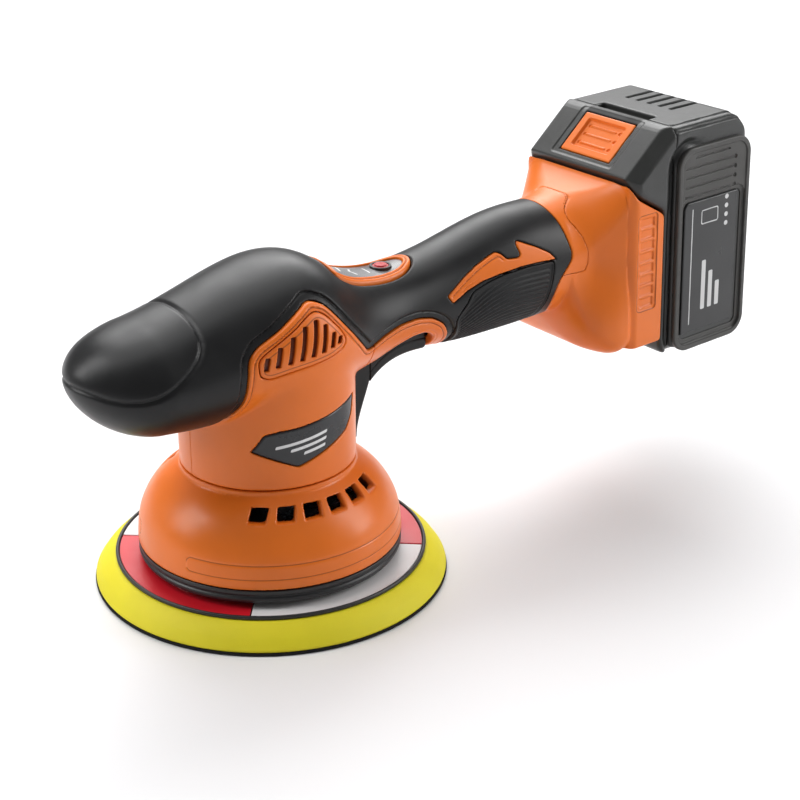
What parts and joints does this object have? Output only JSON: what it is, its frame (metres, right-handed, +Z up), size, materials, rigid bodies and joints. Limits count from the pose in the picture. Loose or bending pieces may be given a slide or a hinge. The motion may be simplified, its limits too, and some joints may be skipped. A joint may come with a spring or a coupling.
{
  "type": "dual action polisher",
  "caption": "Cordless dual action polisher: palm-grip head over a vertical motor, free-spinning foam backing pad on an eccentric, trigger, and a slide-on battery at the end of the handle.",
  "frame": {"origin": "where the motor's axis meets the working face of the backing pad", "axes": "+Z up along the motor axis, +X along the handle towards the battery, Y across, mirror plane at Y = 0"},
  "size_m": [0.3311, 0.15, 0.171],
  "materials": {
    "orange_plastic": "satin moulded",
    "black_rubber": "soft satin rubber",
    "black_plastic": "satin black plastic",
    "dark_plate": "dark plate",
    "lens": "tinted panel",
    "red_button": "moulded red",
    "battery_shell": "dark grey, fine texture",
    "battery_panel": "warm grey",
    "label": "dark printed label",
    "yellow_foam": "moulded polyurethane foam",
    "hook": "hook and loop",
    "pad_white": "painted white",
    "pad_red": "painted red",
    "pad_black": "rubber rim",
    "steel": "turned and ground",
    "lamination": "laminated",
    "copper": "enamelled winding wire",
    "magnet": "sintered, plated",
    "aluminium": "die cast",
    "fan_plastic": "moulded black",
    "brass": "nickel free",
    "circuit_board": "solder mask green",
    "lead_sleeve": "silicone sleeve",
    "cell_wrap": "shrink-wrapped cell",
    "white_plastic": "natural nylon"
  },
  "bodies": {
    "housing": {"housing_left": "orange_plastic", "housing_right": "orange_plastic", "housing_screws": "steel", "rubber_cover": "black_rubber", "handle_accents": "orange_plastic", "ribbed_grip": "black_rubber", "rear_strip": "black_rubber", "side_vents": "orange_plastic", "badge_plates": "dark_plate", "trigger_surround": "orange_plastic", "trigger_pin": "steel", "trigger_spring": "steel", "trigger_switch": "black_plastic", "panel_bezel": "orange_plastic", "panel_lens": "lens", "button_collar": "black_plastic", "display_board": "circuit_board", "controller_board": "circuit_board", "motor_leads": "lead_sleeve", "handle_collar": "orange_plastic", "battery_receptacle": "orange_plastic", "terminal_block": "black_plastic", "terminal_blades": "brass", "skirt_housing": "orange_plastic", "skirt_shroud": "black_rubber", "skirt_screws": "steel", "lower_motor_bracket": "aluminium", "upper_motor_bracket": "aluminium", "stator_core": "lamination", "stator_windings": "copper", "motor_bearing_outer_races": "steel"},
    "crank": {"motor_shaft": "steel", "rotor_core": "lamination", "rotor_magnets": "magnet", "cooling_fan": "fan_plastic", "eccentric_hub": "steel", "counterweight": "steel", "motor_bearing_inner_races": "steel", "spindle_bearing_outer_races": "steel", "spindle_bearing_balls": "steel"},
    "pad": {"hook_face": "hook", "pad_foam": "yellow_foam", "pad_plate": "pad_black", "pad_edge_ring": "pad_black", "red_sectors": "pad_red", "white_sectors": "pad_white", "pad_stud": "steel", "pad_spindle": "steel", "spindle_bearing_inner_races": "steel"},
    "trigger_lever": {"trigger": "black_plastic"},
    "button": {"power_button": "red_button"},
    "battery": {"battery_front_case": "battery_shell", "battery_rear_case": "battery_shell", "battery_side_panels": "battery_panel", "battery_label_plates": "label", "battery_cells": "cell_wrap", "cell_holders": "white_plastic", "battery_board": "circuit_board", "latch_spring": "steel"},
    "latch": {"latch_button": "orange_plastic"}
  },
  "joints": [
    {"name": "motor_spin", "type": "hinge", "parent": "housing", "child": "crank", "pos_m": [0, 0, 0.05], "axis": [0, 0, 1], "continuous": true},
    {"name": "pad_spin", "type": "hinge", "parent": "crank", "child": "pad", "pos_m": [0.0024, 0.0032, 0.02], "axis": [0, 0, 1], "continuous": true},
    {"name": "trigger_pull", "type": "hinge", "parent": "housing", "child": "trigger_lever", "pos_m": [0.048, 0, 0.0965], "axis": [0, -1, 0], "range_deg": [0, 6.5], "stiffness_Nm_per_rad": 1.2, "springref_deg": -14.32, "deforming": ["trigger_spring"]},
    {"name": "button_press", "type": "slide", "parent": "housing", "child": "button", "axis": [0, 0, -1], "range_m": [0, 0.0008], "stiffness_N_per_m": 900, "springref_m": -0.001},
    {"name": "battery_slide", "type": "slide", "parent": "housing", "child": "battery", "axis": [-0.0401, 0, 0.9992], "range_m": [0, 0.095]},
    {"name": "latch_press", "type": "slide", "parent": "battery", "child": "latch", "axis": [0.6744, 0, -0.7384], "range_m": [0, 0.003], "stiffness_N_per_m": 800, "springref_m": -0.002, "deforming": ["latch_spring"]}
  ]
}
